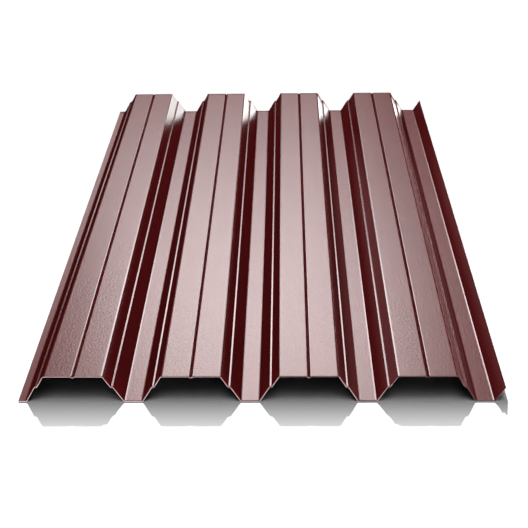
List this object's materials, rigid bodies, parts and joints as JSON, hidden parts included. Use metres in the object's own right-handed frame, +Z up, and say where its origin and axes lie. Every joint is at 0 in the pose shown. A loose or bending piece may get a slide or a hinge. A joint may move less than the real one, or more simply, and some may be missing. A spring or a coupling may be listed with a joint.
{
  "type": "profiled steel sheet",
  "caption": "Trapezoidal roofing and wall sheet, roll formed from one strip of colour-coated steel with grooved crests, ledged webs and a side lap along each long edge.",
  "frame": {"origin": "middle of the sheet's box, at the level that its valleys lie on", "axes": "+Y along the waves, +X across them towards the right lap (the one with the upturned web), +Z up through the coated face"},
  "size_m": [0.9764, 1.55, 0.061],
  "materials": {
    "wine_red_coated_steel": "semi-gloss wine red coil coating with a fine grain on galvanised steel"
  },
  "bodies": {
    "root": {"profiled_sheet": "wine_red_coated_steel"}
  },
  "joints": []
}
